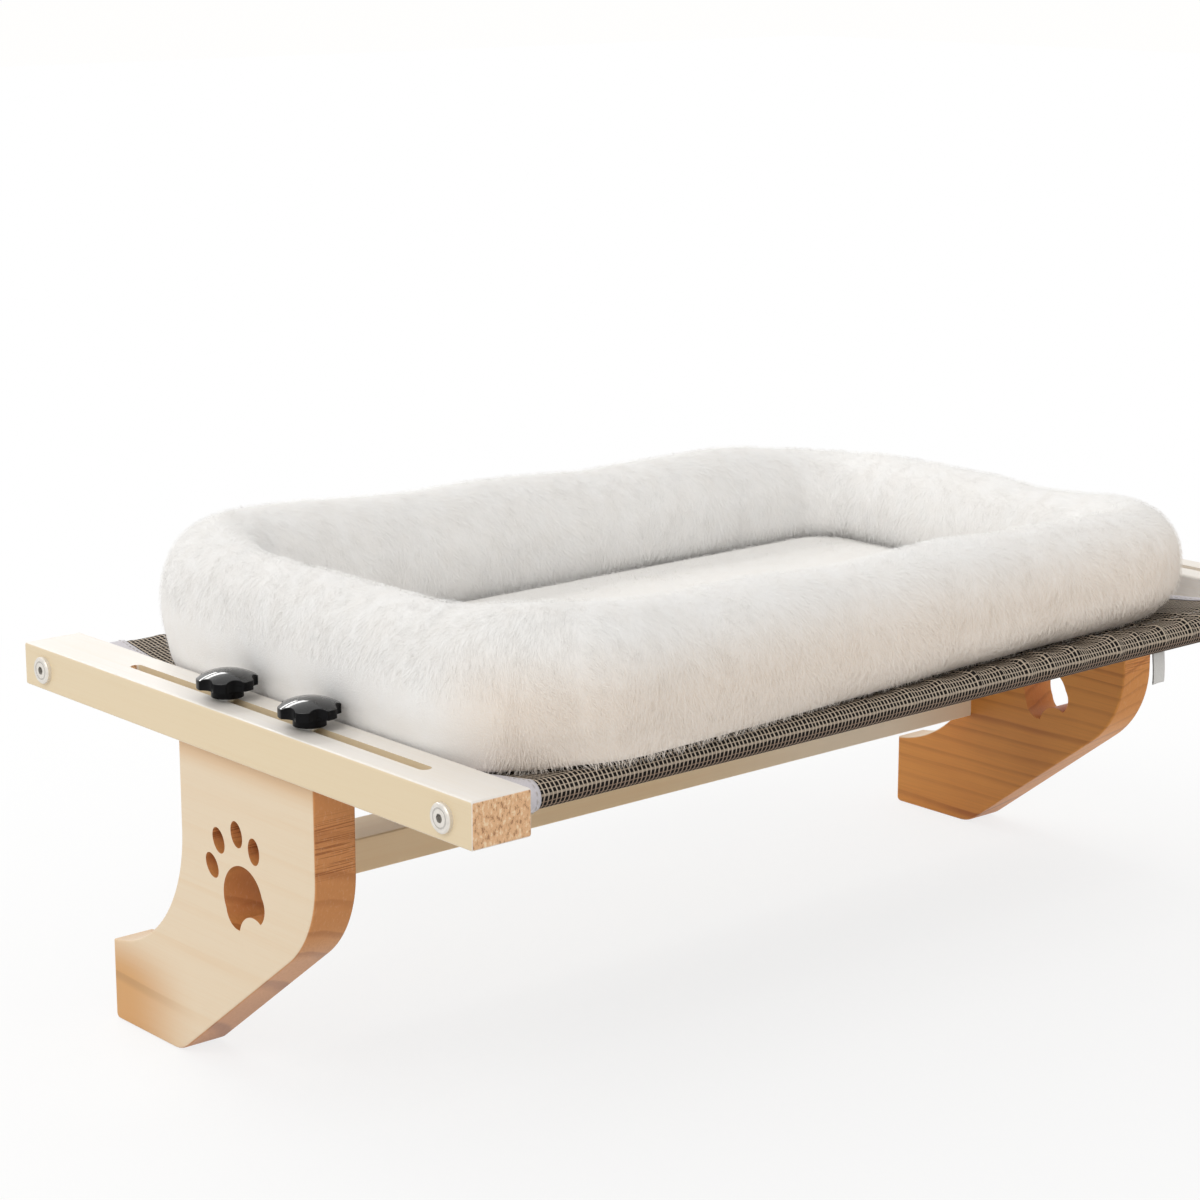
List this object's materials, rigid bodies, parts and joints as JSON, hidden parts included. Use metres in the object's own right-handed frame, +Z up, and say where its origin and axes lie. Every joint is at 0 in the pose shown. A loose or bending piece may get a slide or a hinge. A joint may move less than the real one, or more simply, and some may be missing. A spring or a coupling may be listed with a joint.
{
  "type": "window mounted cat perch",
  "caption": "Sill-mounted pet perch: slotted wooden end boards on two rails, a mesh hammock with a plush bed, and a sliding pair of clamp hooks set by star knobs.",
  "frame": {"origin": "middle of the sill plane: the plane of the end boards' undersides, midway between them and midway along their depth", "axes": "+X from the left to the right end board, +Y towards the window, -Y towards the room, +Z up"},
  "size_m": [0.6652, 0.4, 0.269],
  "materials": {
    "pine_board": "clear satin varnish on pale pine",
    "hook_wood": "satin varnish on warm brown pine",
    "bar_wood": "satin, pale pine",
    "pin_steel": "plain steel",
    "plug_steel": "plain steel",
    "screw_nickel": "satin nickel plate",
    "rail_steel": "grey powder coat",
    "insert_brass": "plain brass",
    "stud_steel": "zinc-plated steel",
    "knob_plastic": "high gloss black",
    "mesh_fabric": "open woven mesh, grey taupe",
    "hem_binding": "pale woven binding tape",
    "tab_cloth": "plain satin tape",
    "base_cloth": "plain weave with a dotted grip",
    "floor_plush": "short plush",
    "wall_plush": "long white plush"
  },
  "bodies": {
    "frame": {"end_board_left": "pine_board", "end_board_right": "pine_board", "front_rail": "rail_steel", "rear_rail": "rail_steel", "hammock_sling": "mesh_fabric", "sling_hem_left": "hem_binding", "sling_hem_right": "hem_binding", "sling_tab": "tab_cloth", "rail_plug_front_left": "plug_steel", "rail_plug_front_right": "plug_steel", "rail_plug_rear_left": "plug_steel", "rail_plug_rear_right": "plug_steel", "rail_screw_front_left": "screw_nickel", "rail_screw_front_right": "screw_nickel", "rail_screw_rear_left": "screw_nickel", "rail_screw_rear_right": "screw_nickel"},
    "carriage": {"clamp_hook_left": "hook_wood", "clamp_hook_right": "hook_wood", "hook_crossbar": "bar_wood", "crossbar_pin_left": "pin_steel", "crossbar_pin_right": "pin_steel", "threaded_insert_front_left": "insert_brass", "threaded_insert_front_right": "insert_brass", "threaded_insert_rear_left": "insert_brass", "threaded_insert_rear_right": "insert_brass"},
    "bed": {"bed_base_cloth": "base_cloth", "bed_floor_cushion": "floor_plush", "bed_bolster": "wall_plush"},
    "stud_front_left": {"knob_stud_front_left": "stud_steel"},
    "knob_front_left": {"star_knob_front_left": "knob_plastic"},
    "stud_rear_left": {"knob_stud_rear_left": "stud_steel"},
    "knob_rear_left": {"star_knob_rear_left": "knob_plastic"},
    "stud_front_right": {"knob_stud_front_right": "stud_steel"},
    "knob_front_right": {"star_knob_front_right": "knob_plastic"},
    "stud_rear_right": {"knob_stud_rear_right": "stud_steel"},
    "knob_rear_right": {"star_knob_rear_right": "knob_plastic"}
  },
  "joints": [
    {"name": "carriage_slide", "type": "slide", "parent": "frame", "child": "carriage", "axis": [0, 1, 0], "range_m": [-0.093, 0.0865]},
    {"name": "bed_lift", "type": "slide", "parent": "frame", "child": "bed", "axis": [0, 0, 1], "range_m": [0, 0.12]},
    {"name": "stud_rise_front_left", "type": "slide", "parent": "carriage", "child": "stud_front_left", "axis": [0, 0, 1], "range_m": [0, 0.003]},
    {"name": "knob_turn_front_left", "type": "hinge", "parent": "stud_front_left", "child": "knob_front_left", "pos_m": [-0.312, -0.0479, 0.031], "axis": [0, 0, 1], "range_deg": [0, 1080]},
    {"name": "stud_rise_rear_left", "type": "slide", "parent": "carriage", "child": "stud_rear_left", "axis": [0, 0, 1], "range_m": [0, 0.003]},
    {"name": "knob_turn_rear_left", "type": "hinge", "parent": "stud_rear_left", "child": "knob_rear_left", "pos_m": [-0.312, 0.0251, 0.031], "axis": [0, 0, 1], "range_deg": [0, 1080]},
    {"name": "stud_rise_front_right", "type": "slide", "parent": "carriage", "child": "stud_front_right", "axis": [0, 0, 1], "range_m": [0, 0.003]},
    {"name": "knob_turn_front_right", "type": "hinge", "parent": "stud_front_right", "child": "knob_front_right", "pos_m": [0.312, -0.0479, 0.031], "axis": [0, 0, 1], "range_deg": [0, 1080]},
    {"name": "stud_rise_rear_right", "type": "slide", "parent": "carriage", "child": "stud_rear_right", "axis": [0, 0, 1], "range_m": [0, 0.003]},
    {"name": "knob_turn_rear_right", "type": "hinge", "parent": "stud_rear_right", "child": "knob_rear_right", "pos_m": [0.312, 0.0251, 0.031], "axis": [0, 0, 1], "range_deg": [0, 1080]}
  ],
  "couplings": [
    {"joint": "knob_turn_front_left", "follows": "stud_rise_front_left", "rad_per_m": 6283.1},
    {"joint": "knob_turn_rear_left", "follows": "stud_rise_rear_left", "rad_per_m": 6283.1},
    {"joint": "knob_turn_front_right", "follows": "stud_rise_front_right", "rad_per_m": 6283.1},
    {"joint": "knob_turn_rear_right", "follows": "stud_rise_rear_right", "rad_per_m": 6283.1}
  ]
}
